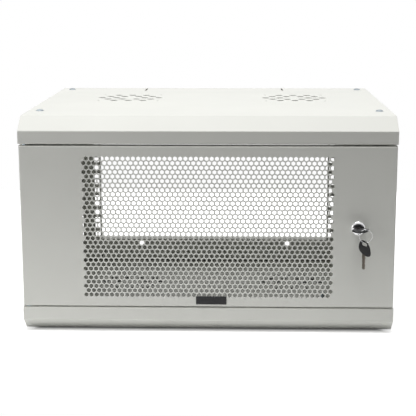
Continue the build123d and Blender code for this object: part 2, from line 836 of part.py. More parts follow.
os.makedirs("parts", exist_ok=True)
for name, piece in cabinet_pieces().items():
    export_step(piece, f"parts/{name}.step")
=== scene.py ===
"""Dresses the wall mount network cabinet: painted steel, a perforated door, the cam lock and its keys."""

import json
from math import cos, pi, radians, sin, sqrt, tan

import bmesh
import bpy
from mathutils import Matrix, Vector
from mathutils.geometry import tessellate_polygon


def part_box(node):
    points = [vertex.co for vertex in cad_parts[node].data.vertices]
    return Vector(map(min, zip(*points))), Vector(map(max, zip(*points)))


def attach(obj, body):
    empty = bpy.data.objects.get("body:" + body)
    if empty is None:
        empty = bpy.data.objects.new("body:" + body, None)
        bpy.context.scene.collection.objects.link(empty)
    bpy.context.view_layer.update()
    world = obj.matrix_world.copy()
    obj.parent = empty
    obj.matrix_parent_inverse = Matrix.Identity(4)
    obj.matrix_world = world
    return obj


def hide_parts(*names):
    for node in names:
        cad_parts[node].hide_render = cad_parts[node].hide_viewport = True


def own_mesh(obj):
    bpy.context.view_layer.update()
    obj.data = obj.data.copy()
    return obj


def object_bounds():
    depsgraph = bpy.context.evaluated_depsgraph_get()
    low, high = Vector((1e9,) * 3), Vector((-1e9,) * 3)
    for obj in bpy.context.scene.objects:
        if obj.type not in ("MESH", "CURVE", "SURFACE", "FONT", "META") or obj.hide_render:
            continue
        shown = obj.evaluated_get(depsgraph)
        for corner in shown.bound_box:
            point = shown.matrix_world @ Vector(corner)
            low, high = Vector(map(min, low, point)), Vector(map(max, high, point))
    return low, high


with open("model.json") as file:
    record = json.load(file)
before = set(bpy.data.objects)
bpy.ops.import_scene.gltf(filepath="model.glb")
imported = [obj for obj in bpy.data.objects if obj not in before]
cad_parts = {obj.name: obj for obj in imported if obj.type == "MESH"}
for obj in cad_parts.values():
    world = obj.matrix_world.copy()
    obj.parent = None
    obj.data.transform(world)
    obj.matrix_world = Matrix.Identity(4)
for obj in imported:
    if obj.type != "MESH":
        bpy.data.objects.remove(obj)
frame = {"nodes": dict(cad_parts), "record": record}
cad_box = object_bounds()
mm = 0.001

# Places taken from the frame
door_low, door_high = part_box("door_leaf")
door_front = door_low.y
door_back = door_high.y
base_low, base_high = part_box("bottom_panel")
base_face = base_low.z
top_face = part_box("top_panel")[1].z
cabinet_half_depth = (base_high.y - base_low.y) / 2
plug_low, plug_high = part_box("lock_plug")
lock_axis = Vector(((plug_low.x + plug_high.x) / 2, plug_low.y, (plug_low.z + plug_high.z) / 2))

# Door sheet
sheet = 1.2 * mm
bend = 2.5 * mm
door_lip = 10 * mm
hole_pitch = 8.30 * mm
hole_flats = 6.3 * mm
mesh_columns = 48
mesh_rows = 32
mesh_middle = Vector((0.8 * mm, 0.0, 174.2 * mm))
lock_hole_radius = 9.2 * mm
bend_steps = 6

# Lock
plug_gap = 0.06 * mm
bezel_lip = 0.4 * mm
bezel_round_width = 2.2 * mm
bezel_round_depth = 1.6 * mm
barrel_radius = 9.0 * mm
barrel_plain = 6.2 * mm  # behind the bezel, before the thread
shroud_radius = 6.5 * mm
shroud_thickness = 0.6 * mm
keyway_width = 7.6 * mm
keyway_height = 2.6 * mm

# Keys and ring
bow_half = 13.0 * mm
bow_offset = 1.8 * mm  # of the bow's middle from the blade's, to one side
bow_middle = 12.6 * mm  # from the seat
bow_reach = 11.3 * mm  # from the middle to the far end
bow_taper = 0.18
bow_lean = 0.25
bow_squareness = 2.5
bow_thickness = 2.8 * mm
bow_soft = 0.7 * mm
bow_slot_offset = 1.4 * mm
bow_slot_half = 3.7 * mm  # between the slot's middle and its round ends' centres
bow_slot_radius = 2.8 * mm
bow_slot_depth = 18.7 * mm  # from the seat
blade_half = 3.3 * mm
blade_length = 22.0 * mm
blade_thickness = 1.8 * mm
blade_soft = 0.25 * mm
blade_root = 3.5 * mm  # moulded into the bow
blade_shoulder = 5.5 * mm
blade_cut_pitch = 2.9 * mm
blade_cuts = (0.9 * mm, 0.3 * mm, 1.2 * mm, 0.6 * mm, 1.0 * mm)  # one side's, backwards on the other
spare_key_turn = 125.0  # degrees about its own length
spare_key_aside = 2.2 * mm
spare_key_drop = 1.2 * mm
ring_wire = 0.27 * mm  # radius
ring_turns = 2
ring_crossing = 0.5  # radians over which the wire changes sides
ring_steps = 64  # per turn
wire_sides = 8

# Fan vents and rear slots
vent_x = 150 * mm
vent_y = 60 * mm
vent_pitch = 26 * mm
vent_rings = 2
vent_radius = 6.8 * mm
slot_x = 133.5 * mm
slot_width = 3.0 * mm
slot_start = 56 * mm  # from the wall plane
slot_length = 51 * mm

# Hinge spring
spring_turns = 4.25
spring_flat_turns = 0.6  # at each end
spring_steps = 28  # per turn
spring_wire = 0.5 * mm  # radius

# Fasteners
bolt_radius = 3.0 * mm
bolt_flats = 10.0 * mm
bolt_head = 4.0 * mm
bolt_crown = 0.94 * bolt_flats / 2  # the flat round top of a head or nut
bolt_chamfer = 0.96  # share of the flats at which the corners' chamfer starts
chamfer_angle = pi / 6
thread_pitch = 1.0 * mm
thread_depth = 0.35 * mm
screw_head_radius = 6.2 * mm
screw_head_rise = 2.4 * mm  # of the lid's domed heads above its face
screw_head_sink = 0.2 * mm  # of the base's flat heads below its face
screw_head_seat = 2.4 * mm
screw_socket_flats = 4.0 * mm
screw_socket_depth = 1.6 * mm
screw_socket_mouth = 2.88 * mm  # radius
screw_dome = ((0.0, 0.55), (0.18, 0.78), (0.45, 0.92), (1.0, 1.0))  # shares of its rise and radius

# Light
world_level = 0.05  # what the white surroundings give to the object
floor_half_width = 1.3
floor_front = -0.6
floor_back = 1.0
floor_drop = 0.5 * mm
floor_glow = 0.62  # the floor's own light, seen by the camera and in reflections only
floor_white = 0.94  # albedo
floor_painted_shade = 0.12  # albedo where the cabinet stands: painted shade, so that the base's vents look dark
floor_blend = 0.03  # from one to the other, inside the cabinet's edge
lamps = (  # name, place, target, size, power, seen in reflections
    ("above", (-0.1, -0.45, 2.6), (0, -0.2, 0.1), (2.0, 1.6), 65.0, True),
    ("left", (-1.4, -0.9, 0.4), (-0.2, -0.25, 0.12), (0.6, 0.5), 5.2, True),
    ("behind", (0, 1.7, 1.0), (0, 0.1, 0.1), (1.4, 0.6), 5.5, False),
    ("low", (-0.1, -0.75, 0.03), (0, -0.25, 0.02), (1.2, 0.05), 0.2, False),
)

# Camera, fitted to the cabinet's edges in the photograph
camera_lens = 96.957
camera_sensor = 36.0
camera_place = (0.05163, -1.9956, 0.56207)
camera_yaw = radians(-1.66)
camera_pitch = radians(11.505)
camera_roll = radians(-0.098)

# Badge plate at the foot of the door
badge_size = Vector((49.0, 1.0, 13.4)) * mm
badge_x = 6.0 * mm
badge_z = 54.3 * mm
badge_corner = 0.8 * mm

# Finishes
paint_hue = (0.995, 1.0, 0.94)
paint_uneven = 0.015
paint_cloud = 9.0  # texture scales
paint_grain = 1400.0
paint_peel = 650.0
paint_edge = 0.4 * mm  # how far edges look rounded
plastic_grain = 900.0


def node_tree(name):
    """A new material and the parts of its node tree that every material here starts from."""
    material = bpy.data.materials.new(name)
    material.use_nodes = True
    tree = material.node_tree
    return material, tree, tree.nodes["Principled BSDF"]


def add(tree, kind, **values):
    """A node with its attributes, or its input sockets by name, set."""
    node = tree.nodes.new(kind)
    for key, value in values.items():
        if hasattr(node, key):
            setattr(node, key, value)
        else:
            node.inputs[key.replace("_", " ")].default_value = value
    return node


def noise(tree, scale, detail=2.0):
    """Noise in the object's own coordinates."""
    place = tree.nodes.new("ShaderNodeTexCoord")
    texture = add(tree, "ShaderNodeTexNoise", Scale=scale, Detail=detail)
    tree.links.new(place.outputs["Object"], texture.inputs["Vector"])
    return texture


def ramp(tree, source, low, high, low_at=0.3, high_at=0.7):
    """A colour ramp between two colours, driven by a texture's value."""
    node = tree.nodes.new("ShaderNodeValToRGB")
    node.color_ramp.elements[0].position = low_at
    node.color_ramp.elements[0].color = (*low, 1)
    node.color_ramp.elements[1].position = high_at
    node.color_ramp.elements[1].color = (*high, 1)
    tree.links.new(source, node.inputs["Fac"])
    return node


def bump(tree, shader, source, strength, distance):
    """Surface relief from a texture's value."""
    node = add(tree, "ShaderNodeBump", Strength=strength, Distance=distance)
    tree.links.new(source, node.inputs["Height"])
    tree.links.new(node.outputs["Normal"], shader.inputs["Normal"])
    return node


def powder_coat(name, level):
    """Light grey powder coat: softened edges, faint orange peel, a fine grain and a soft sheen."""
    material, tree, shader = node_tree(name)
    cloud = noise(tree, paint_cloud, 3.0)
    dark = tuple(level * (1 - paint_uneven) * channel for channel in paint_hue)
    light = tuple(level * (1 + paint_uneven) * channel for channel in paint_hue)
    tint = ramp(tree, cloud.outputs["Fac"], dark, light)
    tree.links.new(tint.outputs["Color"], shader.inputs["Base Color"])
    shader.inputs["Specular IOR Level"].default_value = 0.4
    grain = noise(tree, paint_grain, 2.0)
    gloss = ramp(tree, grain.outputs["Fac"], (0.40,) * 3, (0.52,) * 3)
    tree.links.new(gloss.outputs["Color"], shader.inputs["Roughness"])
    peel = noise(tree, paint_peel, 2.0)
    edge = add(tree, "ShaderNodeBevel", samples=4, Radius=paint_edge)
    relief = bump(tree, shader, peel.outputs["Fac"], 0.08, 0.0004)
    tree.links.new(edge.outputs["Normal"], relief.inputs["Normal"])
    return material


def metal(name, color, roughness, streak, spread):
    """Bare or plated metal with faintly uneven gloss. Streak is the texture's scale, spread its depth."""
    material, tree, shader = node_tree(name)
    cloud = noise(tree, streak, 4.0)
    dark = tuple(channel * (1 - spread) for channel in color)
    tint = ramp(tree, cloud.outputs["Fac"], dark, color)
    tree.links.new(tint.outputs["Color"], shader.inputs["Base Color"])
    shader.inputs["Metallic"].default_value = 1.0
    gloss = ramp(tree, cloud.outputs["Fac"], (roughness * 0.8,) * 3, (roughness * 1.25,) * 3)
    tree.links.new(gloss.outputs["Color"], shader.inputs["Roughness"])
    return material


def plastic(name, color, roughness, gloss):
    """Moulded plastic with a fine grain."""
    material, tree, shader = node_tree(name)
    cloud = noise(tree, 40.0, 3.0)
    light = tuple(channel * 1.15 + 0.002 for channel in color)
    tint = ramp(tree, cloud.outputs["Fac"], color, light)
    tree.links.new(tint.outputs["Color"], shader.inputs["Base Color"])
    shader.inputs["Roughness"].default_value = roughness
    shader.inputs["Specular IOR Level"].default_value = gloss
    texture = noise(tree, plastic_grain, 2.0)
    bump(tree, shader, texture.outputs["Fac"], 0.15, 0.0002)
    return material


finishes = {
    "shell_paint": powder_coat("shell_paint", 0.74),
    "frame_paint": powder_coat("frame_paint", 0.72),
    "zinc": metal("zinc", (0.42, 0.47, 0.50), 0.30, 120.0, 0.2),
    "chrome": metal("chrome", (0.74, 0.74, 0.75), 0.08, 40.0, 0.02),
    "black_plastic": plastic("black_plastic", (0.010, 0.010, 0.011), 0.42, 0.3),
    "nickel": metal("nickel", (0.16, 0.142, 0.122), 0.34, 300.0, 0.25),
    "spring_steel": metal("spring_steel", (0.72, 0.72, 0.73), 0.22, 200.0, 0.1),
    "grey_plastic": plastic("grey_plastic", (0.20, 0.20, 0.20), 0.5, 0.5),
}


def paint_nodes():
    """Gives every CAD node the finish of its slot."""
    for part in frame["record"]["subparts"]:
        obj = frame["nodes"][part["node"]]
        obj.data.materials.clear()
        obj.data.materials.append(finishes[part["material_slot"]])


def linked(name, data):
    """A new object in the scene."""
    obj = bpy.data.objects.new(name, data)
    bpy.context.scene.collection.objects.link(obj)
    return obj


def shape_mesh(name, vertices, faces):
    """A mesh whose faces look outwards."""
    mesh = bpy.data.meshes.new(name)
    mesh.from_pydata([tuple(v) for v in vertices], [], faces)
    mesh.validate()
    work = bmesh.new()
    work.from_mesh(mesh)
    bmesh.ops.recalc_face_normals(work, faces=work.faces)
    work.to_mesh(mesh)
    work.free()
    return mesh


def piece(name, vertices, faces, slot, body, smooth_angle):
    """A new mesh object with a slot's finish, riding on a body. Edges sharper than the angle stay sharp."""
    mesh = shape_mesh(name, vertices, faces)
    obj = linked(name, mesh)
    mesh.materials.append(finishes[slot])
    mesh.shade_smooth()
    mesh.set_sharp_from_angle(angle=radians(smooth_angle))
    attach(obj, body)
    return obj


def arc(x, y, radius, start, end, steps):
    """Points on an arc, angles in degrees."""
    turns = [radians(start + (end - start) * i / steps) for i in range(steps + 1)]
    return [(x + radius * cos(a), y + radius * sin(a)) for a in turns]


def hexagon(x, z, flats):
    """A hexagon with upright sides."""
    radius = flats / sqrt(3)
    turns = [radians(30 + 60 * i) for i in range(6)]
    return [(x + radius * cos(a), z + radius * sin(a)) for a in turns]


def mesh_holes():
    """Centres of the door's holes, row by row."""
    row_pitch = hole_pitch * sqrt(3) / 2
    middle_column, middle_row = (mesh_columns - 1) / 2, (mesh_rows - 1) / 2
    centres = []
    for row in range(mesh_rows):
        shift = hole_pitch / 4 if row % 2 else -hole_pitch / 4
        z = mesh_middle.z + (row - middle_row) * row_pitch
        for column in range(mesh_columns):
            centres.append((mesh_middle.x + (column - middle_column) * hole_pitch + shift, z))
    return centres


class Points:
    """Vertices of one mesh, shared where they coincide."""

    def __init__(self):
        self.places = []
        self.known = {}

    def at(self, x, y, z):
        key = (round(x, 7), round(y, 7), round(z, 7))
        if key not in self.known:
            self.known[key] = len(self.places)
            self.places.append((x, y, z))
        return self.known[key]


def outline_of(cells):
    """The outer loop of a set of cells, from the sides that only one cell has."""
    sides = {}
    for cell in cells:
        for a, b in zip(cell, cell[1:] + cell[:1]):
            if (b, a) in sides:
                del sides[(b, a)]
            else:
                sides[(a, b)] = True
    follow = dict(sides.keys())
    start = next(iter(follow))
    loop, here = [start], follow[start]
    while here != start:
        loop.append(here)
        here = follow[here]
    return loop


def door_leaf():
    """The door: one folded sheet with its field of small hexagonal holes and a folded rim."""
    points = Points()
    faces = []
    levels = (door_front, door_front + sheet)
    holes = mesh_holes()
    cells = [[points.at(x, door_front, z) for x, z in hexagon(*hole, hole_pitch)] for hole in holes]
    for hole, cell in zip(holes, cells):
        inner = hexagon(*hole, hole_flats)
        rings = []
        for level in levels:
            ring = [points.at(x, level, z) for x, z in inner]
            rim = [points.at(points.places[i][0], level, points.places[i][2]) for i in cell]
            rings.append(ring)
            for i in range(6):
                j = (i + 1) % 6
                faces.append((rim[i], rim[j], ring[j], ring[i]))
        for i in range(6):
            j = (i + 1) % 6
            faces.append((rings[0][i], rings[0][j], rings[1][j], rings[1][i]))

    field = outline_of(cells)
    lock_ring = arc(lock_axis.x, lock_axis.z, lock_hole_radius, 0, 360, 32)[:-1]
    corners = rectangle(bend)
    for level in levels:
        loops = [
            [points.at(x, level, z) for x, z in corners],
            [points.at(points.places[i][0], level, points.places[i][2]) for i in field],
            [points.at(x, level, z) for x, z in lock_ring],
        ]
        flat = [i for loop in loops for i in loop]
        places = points.places
        polygons = [[Vector((places[i][0], places[i][2], 0)) for i in loop] for loop in loops]
        for triangle in tessellate_polygon(polygons):
            faces.append(tuple(flat[i] for i in triangle))

    rim = rim_profile()
    for (a0, y0), (a1, y1) in zip(rim, rim[1:]):
        first = [points.at(x, y0, z) for x, z in rectangle(a0)]
        second = [points.at(x, y1, z) for x, z in rectangle(a1)]
        for i in range(4):
            j = (i + 1) % 4
            faces.append((first[i], first[j], second[j], second[i]))
    leaf = piece("door_sheet", points.places, faces, "shell_paint", "door", 25)
    normals = leaf.modifiers.new("normals", "WEIGHTED_NORMAL")
    normals.keep_sharp = True
    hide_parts("door_leaf")


def panel_cutters(node, sheet_z):
    """The forms that open a panel's fan vents and rear slots, as one mesh."""
    low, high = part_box(node)
    reach = (high.z - low.z) / 8  # past the sheet on both sides
    cutters = Shape()
    for side in (-1, 1):
        for row in range(-vent_rings, vent_rings + 1):
            count = 2 * vent_rings + 1 - abs(row)
            for column in range(count):
                dx = (column - (count - 1) / 2) * vent_pitch
                if row or dx:  # the middle one stays shut
                    x, y = side * vent_x + dx, vent_y + row * vent_pitch * sqrt(3) / 2
                    place = Matrix.Translation((x, y, sheet_z))
                    cutters.turned(place, [(-reach, vent_radius), (reach, vent_radius)])
        x0, x1 = side * slot_x - slot_width / 2, side * slot_x + slot_width / 2
        y0, y1 = high.y - slot_start, high.y - slot_start + slot_length
        corners = ((x0, y0), (x1, y0), (x1, y1), (x0, y1))
        cutters.stack([[Vector((x, y, sheet_z + rise)) for x, y in corners] for rise in (-reach, reach)])
    return shape_mesh(f"{node}_cutters", cutters.vertices, cutters.faces)


def cut_panel(node, sheet_z):
    """A copy of a shell panel with its fan vents opened to round holes and its rear slots to full width."""
    source = frame["nodes"][node]
    tool = linked(f"{node}_cutters", panel_cutters(node, sheet_z))
    whole = linked(f"{node}_whole", source.data.copy())
    whole.matrix_world = source.matrix_world
    cut = whole.modifiers.new("vents", "BOOLEAN")
    cut.object = tool
    cut.solver = "EXACT"
    mesh = bpy.data.meshes.new_from_object(whole.evaluated_get(bpy.context.evaluated_depsgraph_get()))
    bpy.data.objects.remove(whole)
    bpy.data.objects.remove(tool)
    mesh.materials.clear()
    mesh.materials.append(finishes["shell_paint"])
    panel = linked(f"{node}_cut", mesh)
    panel.matrix_world = source.matrix_world
    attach(panel, "cabinet")
    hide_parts(node)


def rectangle(inset):
    """The door's outline moved inwards."""
    x0, x1 = door_low.x + inset, door_high.x - inset
    z0, z1 = door_low.z + inset, door_high.z - inset
    return [(x0, z0), (x1, z0), (x1, z1), (x0, z1)]


def rim_profile():
    """The folded rim as (distance in from the door's edge, y), from the face's front round to its back."""
    turns = [radians(90 * i / bend_steps) for i in range(bend_steps + 1)]
    chamfer = sheet * 0.4
    profile = [(bend - bend * sin(a), door_front + bend - bend * cos(a)) for a in turns]
    profile += [(0.0, door_back - chamfer), (chamfer, door_back)]
    profile += [(door_lip, door_back), (door_lip, door_back - sheet), (sheet, door_back - sheet)]
    inner = bend - sheet
    profile += [(bend - inner * sin(a), door_front + bend - inner * cos(a)) for a in turns[::-1]]
    return profile


class Shape:
    """Vertices and faces of one piece, built from stacks of loops and from flat plates."""

    def __init__(self):
        self.vertices = []
        self.faces = []

    def stack(self, loops, closed=False):
        """Skins a row of equal loops. Its two ends are capped, or joined where it is closed."""
        start, count, rows = len(self.vertices), len(loops[0]), len(loops)
        self.vertices += [vertex for loop in loops for vertex in loop]
        for row in range(rows if closed else rows - 1):
            a, b = start + row * count, start + (row + 1) % rows * count
            for i in range(count):
                j = (i + 1) % count
                self.faces.append((a + i, a + j, b + j, b + i))
        if not closed:
            self.faces.append(tuple(range(start, start + count)))
            self.faces.append(tuple(range(start + (rows - 1) * count, start + rows * count)))

    def turned(self, place, stations, steps=24, closed=False):
        """A lathe form. Each station's height and radius are numbers or functions of the angle."""
        loops = []
        for height, radius in stations:
            loop = []
            for i in range(steps):
                turn = 2 * pi * i / steps
                r, h = at_angle(radius, turn), at_angle(height, turn)
                loop.append(place @ Vector((r * cos(turn), r * sin(turn), h)))
            loops.append(loop)
        self.stack(loops, closed)

    def plate(self, place, outlines, thickness, soft):
        """A flat plate in its own XY plane from an outline and its holes, with softened edges."""
        half = thickness / 2
        levels = ((-half, soft), (-half + soft, 0.0), (half - soft, 0.0), (half, soft))
        ends = ([], [])
        for number, outline in enumerate(outlines):
            side = 1 if number == 0 else -1
            start, count = len(self.vertices), len(outline)
            for z, inward in levels:
                self.vertices += [place @ Vector((x, y, z)) for x, y in shrunk(outline, side * inward)]
            for row in range(3):
                for i in range(count):
                    j = (i + 1) % count
                    a, b = start + row * count, start + (row + 1) * count
                    self.faces.append((a + i, a + j, b + j, b + i))
            ends[0].append(range(start, start + count))
            ends[1].append(range(start + 3 * count, start + 4 * count))
        back = place.inverted()
        for loops in ends:
            flat = [i for loop in loops for i in loop]
            for triangle in tessellate_polygon([[back @ self.vertices[i] for i in loop] for loop in loops]):
                self.faces.append(tuple(flat[i] for i in triangle))

    def tube(self, path, out, radius):
        """A wire along a path, with the direction away from the path's axis at each point."""
        loops = []
        turns = circle_turns(wire_sides)
        for i, point in enumerate(path):
            before, after = path[max(i - 1, 0)], path[min(i + 1, len(path) - 1)]
            across = (after - before).cross(out[i]).normalized()
            loops.append([point + radius * (cos(a) * out[i] + sin(a) * across) for a in turns])
        self.stack(loops)


def at_angle(value, turn):
    """A number, or a function of the angle round an axis."""
    return value(turn) if callable(value) else value


def circle_turns(count):
    """Angles that divide a circle."""
    return [2 * pi * i / count for i in range(count)]


def hexagonal(flats):
    """The radius of a hexagon as a function of angle."""
    return lambda turn: flats / 2 / cos((turn + pi / 6) % (pi / 3) - pi / 6)


def shrunk(outline, distance):
    """A closed outline moved inwards, along the mean normal of the two sides at each point."""
    moved = []
    for i, here in enumerate(outline):
        before, after = Vector(outline[i - 1]), Vector(outline[(i + 1) % len(outline)])
        here = Vector(here)
        first, second = (here - before).normalized(), (after - here).normalized()
        normal = Vector((-first.y - second.y, first.x + second.x))
        share = 1 + first.dot(second)
        moved.append(tuple(here + normal * (distance / max(share, 0.2))))
    return moved


def smoothed(corners, steps):
    """An outline of (x, y, radius) corners, anticlockwise, with each corner rounded by its radius."""
    points = []
    for i, (x, y, radius) in enumerate(corners):
        here = Vector((x, y))
        into = (here - Vector(corners[i - 1][:2])).normalized()
        away = (Vector(corners[(i + 1) % len(corners)][:2]) - here).normalized()
        turn = into.angle_signed(away)
        reach = radius * tan(abs(turn) / 2)
        side = 1 if turn < 0 else -1
        centre = here - into * reach + Vector((-into.y, into.x)) * radius * side
        start = here - into * reach - centre
        for step in range(steps + 1):
            a = -turn * step / steps
            x = centre.x + start.x * cos(a) - start.y * sin(a)
            y = centre.y + start.x * sin(a) + start.y * cos(a)
            points.append((x, y))
    return points


def along(axis, origin):
    """A place whose own Z runs along an axis."""
    return Matrix.Translation(origin) @ Vector(axis).to_track_quat("Z", "Y").to_matrix().to_4x4()


def rounded_rectangle(width, height, radius, steps):
    """An outline about the origin."""
    x, y = width / 2, height / 2
    return smoothed([(-x, -y, radius), (x, -y, radius), (x, y, radius), (-x, y, radius)], steps)


def badge_plate():
    """The bare plate at the foot of the door."""
    outline = rounded_rectangle(badge_size.x, badge_size.z, badge_corner, 5)
    shape = Shape()
    place = along((0, -1, 0), (badge_x, door_front - badge_size.y / 2, badge_z))
    shape.plate(place, [outline], badge_size.y, 0.25 * mm)
    piece("badge_plate", shape.vertices, shape.faces, "black_plastic", "door", 30)


def lock_body():
    """The lock's chromed housing: a rounded bezel on the door and a threaded barrel behind it."""
    low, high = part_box("lock_housing")
    outer = (high.x - low.x) / 2
    bore = (plug_high.x - plug_low.x) / 2 + plug_gap
    length = high.y - low.y
    flange = door_front - low.y
    flat = outer - bezel_round_width
    thread_start = flange + barrel_plain + 0.2 * mm
    stations = [(0.5 * mm, bore), (0.0, bore + bezel_lip), (0.0, flat)]
    for i in range(1, 7):
        a = radians(15 * i)
        stations.append((bezel_round_depth * (1 - cos(a)), flat + bezel_round_width * sin(a)))
    stations += [(flange, outer), (flange, barrel_radius), (flange + barrel_plain, barrel_radius)]
    stations += thread(thread_start, length - 1 * mm, barrel_radius)
    stations += [(length, barrel_radius - 0.6 * mm), (length, bore)]
    shape = Shape()
    shape.turned(along((0, 1, 0), (lock_axis.x, low.y, lock_axis.z)), stations, 48, closed=True)
    body = piece("lock_body", shape.vertices, shape.faces, "chrome", "door", 30)
    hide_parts("lock_housing")


def lock_shroud():
    """The black dust cap on the plug's face, with the keyway through it."""
    outline = [(shroud_radius * cos(a), shroud_radius * sin(a)) for a in circle_turns(40)]
    keyway = rounded_rectangle(keyway_width, keyway_height, 0.5 * mm, 3)
    place = along((0, -1, 0), (lock_axis.x, lock_axis.y - shroud_thickness / 2, lock_axis.z))
    shape = Shape()
    shape.plate(place, [outline, keyway], shroud_thickness, 0.2 * mm)
    piece("lock_shroud", shape.vertices, shape.faces, "black_plastic", "lock_plug", 30)


def bow_outlines():
    """A key bow's outline and its slot, with the blade's seat at y 0. It is a leaning oval, wider at -X."""
    outline = []
    for turn in circle_turns(48):
        across = signed_power(cos(turn), 2 / bow_squareness)
        up = signed_power(sin(turn), 2 / bow_squareness)
        x = bow_half * across * (1 - bow_taper * up)
        outline.append((x - bow_offset, bow_middle + bow_reach * up + bow_lean * x))
    slot = arc(bow_slot_half - bow_slot_offset, bow_slot_depth, bow_slot_radius, -90, 90, 8)
    slot += arc(-bow_slot_half - bow_slot_offset, bow_slot_depth, bow_slot_radius, 90, 270, 8)
    return [outline, slot]


def signed_power(value, power):
    """A power that keeps the value's sign."""
    return (1 if value >= 0 else -1) * abs(value) ** power


def blade_outline():
    """A key blade's outline, from its seat at y 0 down to its pointed tip, with cuts on both edges."""
    right = [(blade_half, blade_root), (blade_half, -blade_shoulder)]
    left = [(-blade_half, blade_root), (-blade_half, -blade_shoulder)]
    for edge, cuts, side in ((right, blade_cuts, 1), (left, blade_cuts[::-1], -1)):
        for i, cut in enumerate(cuts):
            y = -blade_shoulder - (i + 0.5) * blade_cut_pitch
            edge.append((side * (blade_half - cut), y + 0.3 * blade_cut_pitch))
            edge.append((side * (blade_half - cut), y))
            edge.append((side * blade_half, y - 0.35 * blade_cut_pitch))
        edge.append((side * 0.5 * blade_half, -blade_length))
    return left + right[::-1]


def key(prefix, place, body):
    """A moulded bow and a cut blade in place of a key's two CAD nodes."""
    bow = Shape()
    bow.plate(place, bow_outlines(), bow_thickness, bow_soft)
    bow_piece = piece(f"{prefix}bow_moulded", bow.vertices, bow.faces, "black_plastic", body, 40)
    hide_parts(f"{prefix}bow")
    blade = Shape()
    blade.plate(place, [blade_outline()], blade_thickness, blade_soft)
    blade_piece = piece(f"{prefix}blade_cut", blade.vertices, blade.faces, "nickel", body, 30)
    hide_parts(f"{prefix}blade")


def keys():
    """The key in the lock, lying level, and the spare that hangs from the ring."""
    seat = Vector((lock_axis.x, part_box("key_bow")[1].y, lock_axis.z))
    key("key_", Matrix.Translation(seat) @ Matrix.Rotation(pi, 4, "Z"), "key")
    low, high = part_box("spare_key_bow")
    centre = (low + high) / 2
    turn = Matrix.Rotation(radians(spare_key_turn), 4, "Z") @ Matrix.Rotation(pi / 2, 4, "X")
    seat = Vector((centre.x - spare_key_aside, centre.y, low.z - spare_key_drop))
    key("spare_key_", Matrix.Translation(seat) @ turn, "spare_key")


def split_ring():
    """The key ring: two turns of fine wire side by side, with one crossing."""
    low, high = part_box("key_ring")
    centre = (low + high) / 2
    radius = (high.x - low.x) / 2 - ring_wire
    path, out = [], []
    for i in range(ring_turns * ring_steps + 1):
        a = 2 * pi * i / ring_steps
        share = min(max((a - 2 * pi) / ring_crossing + 0.5, 0.0), 1.0)
        side = ring_wire * (2 * share * share * (3 - 2 * share) - 1)
        direction = Vector((cos(a + pi / 3), 0, sin(a + pi / 3)))
        path.append(centre + radius * direction + Vector((0, side, 0)))
        out.append(direction)
    shape = Shape()
    shape.tube(path, out, ring_wire)
    ring = piece("split_ring", shape.vertices, shape.faces, "spring_steel", "ring", 60)
    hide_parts("key_ring")


def hinge_coil():
    """The hinge bolt's compression spring, whose end turns lie flat."""
    low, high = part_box("hinge_spring")
    centre = (low + high) / 2
    radius = (high.x - low.x) / 2 - spring_wire
    foot, rise = low.z + spring_wire, high.z - low.z - 2 * spring_wire
    count = int(spring_turns * spring_steps)
    path, out = [], []
    for i in range(count + 1):
        turn = spring_turns * i / count
        share = min(max((turn - spring_flat_turns) / (spring_turns - 2 * spring_flat_turns), 0.0), 1.0)
        direction = Vector((cos(2 * pi * turn), sin(2 * pi * turn), 0))
        path.append(Vector((centre.x, centre.y, foot + rise * share)) + radius * direction)
        out.append(direction)
    shape = Shape()
    shape.tube(path, out, spring_wire)
    coil = piece("hinge_coil", shape.vertices, shape.faces, "spring_steel", "door", 60)
    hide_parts("hinge_spring")
    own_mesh(coil)


def thread(start, end, radius):
    """Ridges of a screw thread, as stations of a turned form."""
    stations = []
    count = int((end - start) / thread_pitch)
    for i in range(count):
        h = start + i * thread_pitch
        stations += [(h, radius - thread_depth), (h + thread_pitch / 2, radius)]
    return stations + [(start + count * thread_pitch, radius - thread_depth)]


def rounded_top(flats, height, sign=1):
    """The height of a hexagon's chamfered end, as a function of angle."""
    edge, bevel = hexagonal(flats), tan(chamfer_angle)
    return lambda turn: height - sign * (edge(turn) - bolt_chamfer * flats / 2) * bevel


def hexagon_bolt(shape, place, length):
    """A bolt whose head's seat is at height 0 and whose thread ends at the given length."""
    shape.turned(
        place,
        [
            (-bolt_head, bolt_crown),
            (rounded_top(bolt_flats, -bolt_head, -1), hexagonal(bolt_flats)),
            (0.0, hexagonal(bolt_flats)),
            (0.0, bolt_radius - thread_depth),
            *thread(0.2 * mm, length - 0.6 * mm, bolt_radius),
            (length, bolt_radius - 2 * thread_depth),
        ],
    )


def hexagon_nut(shape, place):
    """A nut whose seat is at height 0."""
    shape.turned(
        place,
        [
            (0.0, bolt_radius),
            (0.0, hexagonal(bolt_flats)),
            (rounded_top(bolt_flats, bolt_head), hexagonal(bolt_flats)),
            (bolt_head, bolt_crown),
            (bolt_head, bolt_radius),
        ],
        closed=True,
    )


def solids(node):
    """The boxes of a CAD node's separate solids, as pairs of corners."""
    mesh = frame["nodes"][node].data
    places = [tuple(round(c, 6) for c in v.co) for v in mesh.vertices]
    links = {place: set() for place in places}
    for edge in mesh.edges:
        a, b = (places[i] for i in edge.vertices)
        links[a].add(b)
        links[b].add(a)
    boxes, seen = [], set()
    for place in links:
        if place in seen:
            continue
        group, front = [], [place]
        seen.add(place)
        while front:
            here = front.pop()
            group.append(here)
            fresh = links[here] - seen
            seen.update(fresh)
            front += fresh
        boxes.append((Vector(map(min, zip(*group))), Vector(map(max, zip(*group)))))
    return sorted(boxes, key=lambda pair: (round(pair[0].y, 4), round(pair[0].z, 4), pair[1].x - pair[0].x))


